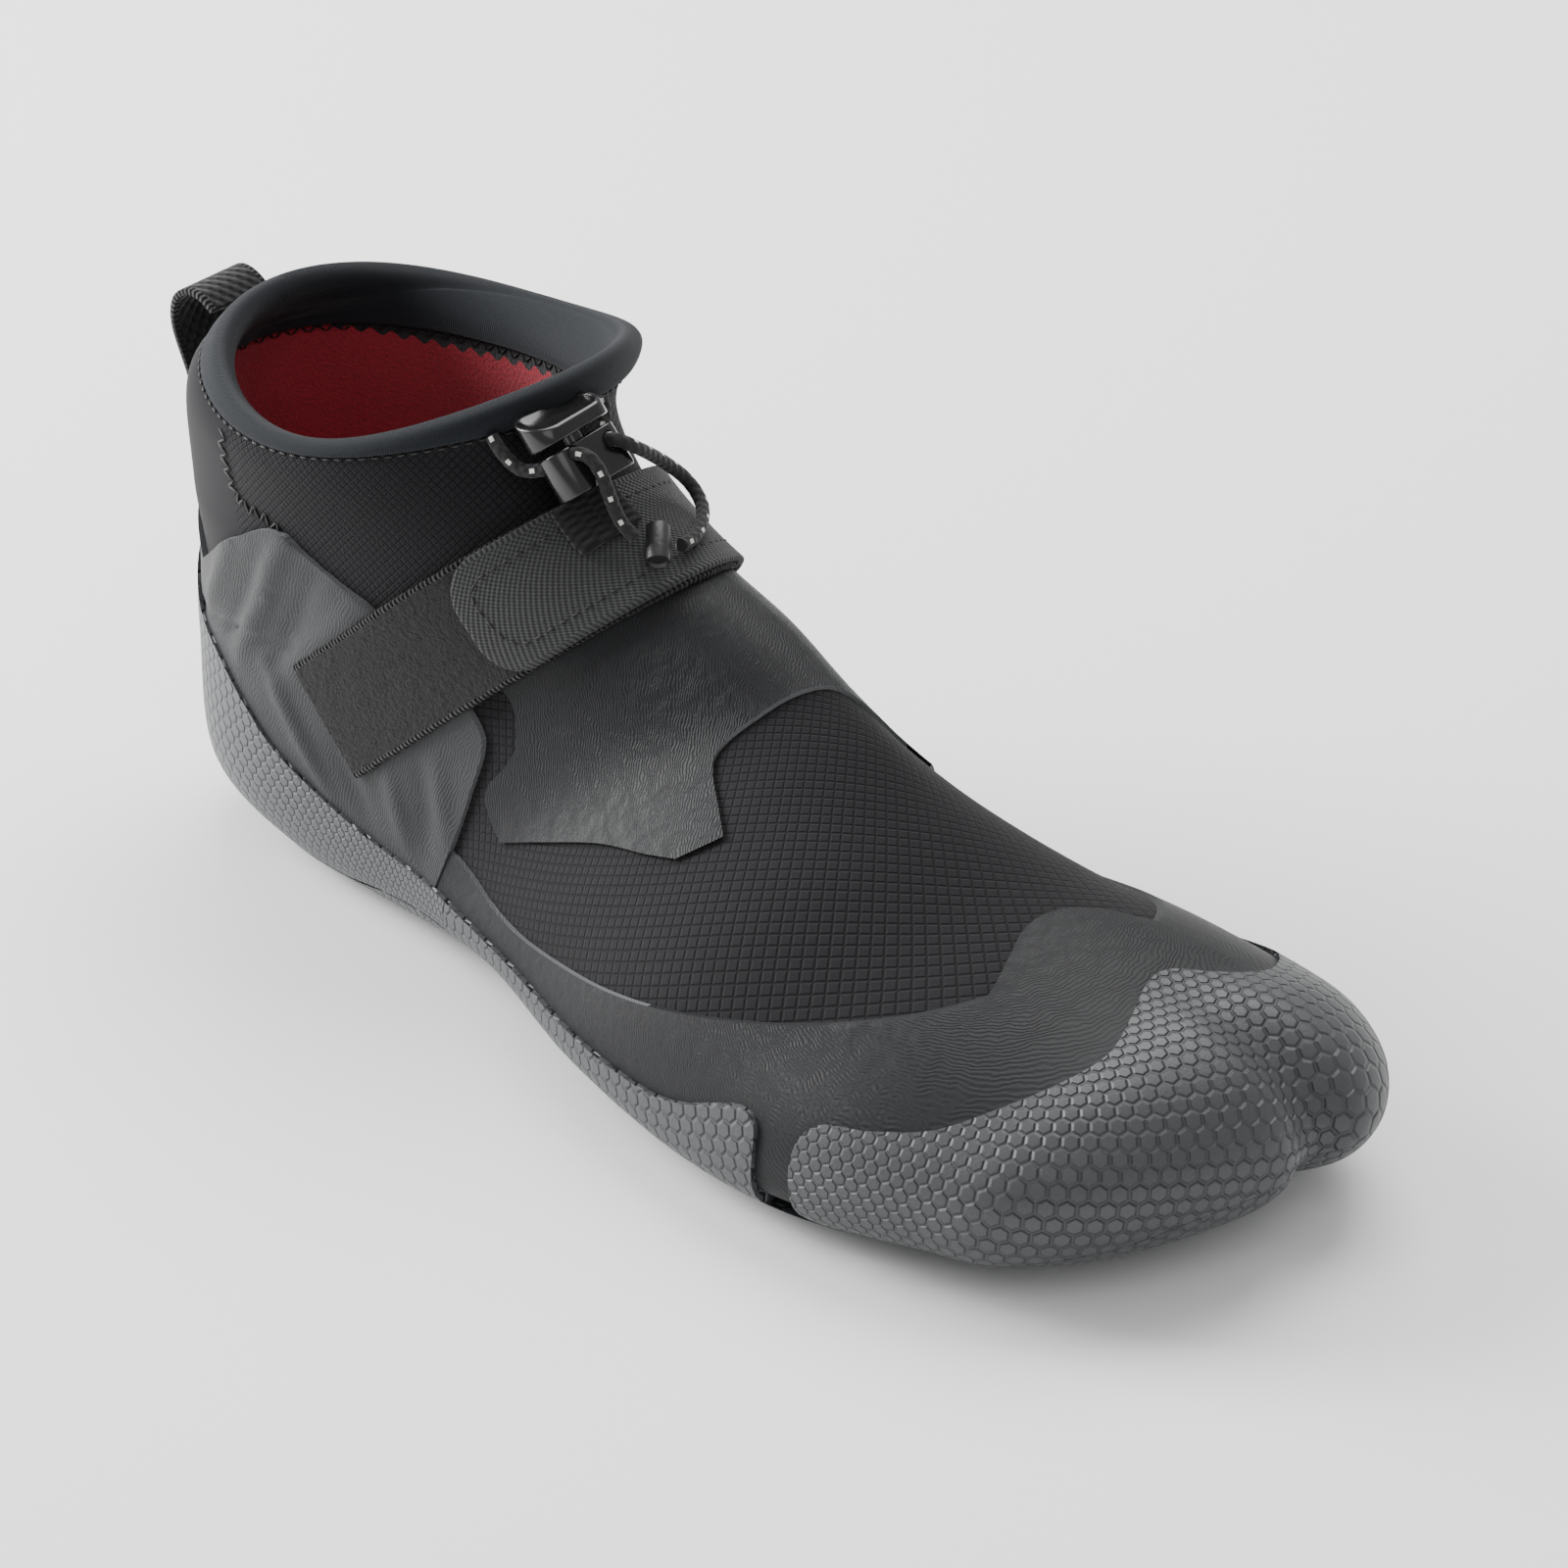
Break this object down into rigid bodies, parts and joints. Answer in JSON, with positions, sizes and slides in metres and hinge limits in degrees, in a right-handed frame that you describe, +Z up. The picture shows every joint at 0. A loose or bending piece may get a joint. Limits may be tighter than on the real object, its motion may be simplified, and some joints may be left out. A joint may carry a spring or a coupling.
{
  "type": "water boot",
  "caption": "Low split-toe neoprene water boot for the right foot, with a rubber sole, toe cap and heel cup, an instep strap, a collar cord lock and a heel loop.",
  "frame": {"origin": "on the floor under the middle of the heel, at the middle of the sole's heel rest", "axes": "+X to the toes, +Y to the inner side of the foot, +Z up"},
  "size_m": [0.2851, 0.107, 0.1171],
  "materials": {
    "knit_binding": "matte knit",
    "neoprene": "matte stretch cloth over foam",
    "sole_rubber": "matte",
    "cap_rubber": "matte",
    "cup_rubber": "matte",
    "sock_lining": "matte",
    "dark_steel": "satin black",
    "strap_webbing": "woven",
    "lock_plastic": "glossy",
    "elastic_cord": "braided with pale flecks",
    "bead_plastic": "satin",
    "loop_webbing": "twill"
  },
  "bodies": {
    "boot": {"collar_binding": "knit_binding", "upper": "neoprene", "outsole": "sole_rubber", "toe_cap": "cap_rubber", "heel_cup": "cup_rubber", "insole": "sock_lining", "strap_ring": "dark_steel", "strap": "strap_webbing", "strap_anchor": "strap_webbing", "cord_lock": "lock_plastic", "drawcord_outer": "elastic_cord", "drawcord_inner": "elastic_cord", "cord_stopper": "bead_plastic", "lock_tab": "strap_webbing", "pull_loop": "loop_webbing"},
    "button": {"lock_button": "lock_plastic"}
  },
  "joints": [
    {"name": "button_press", "type": "slide", "parent": "boot", "child": "button", "axis": [0.6018, 0.1003, -0.7923], "range_m": [0, 0.0012], "stiffness_N_per_m": 900}
  ]
}
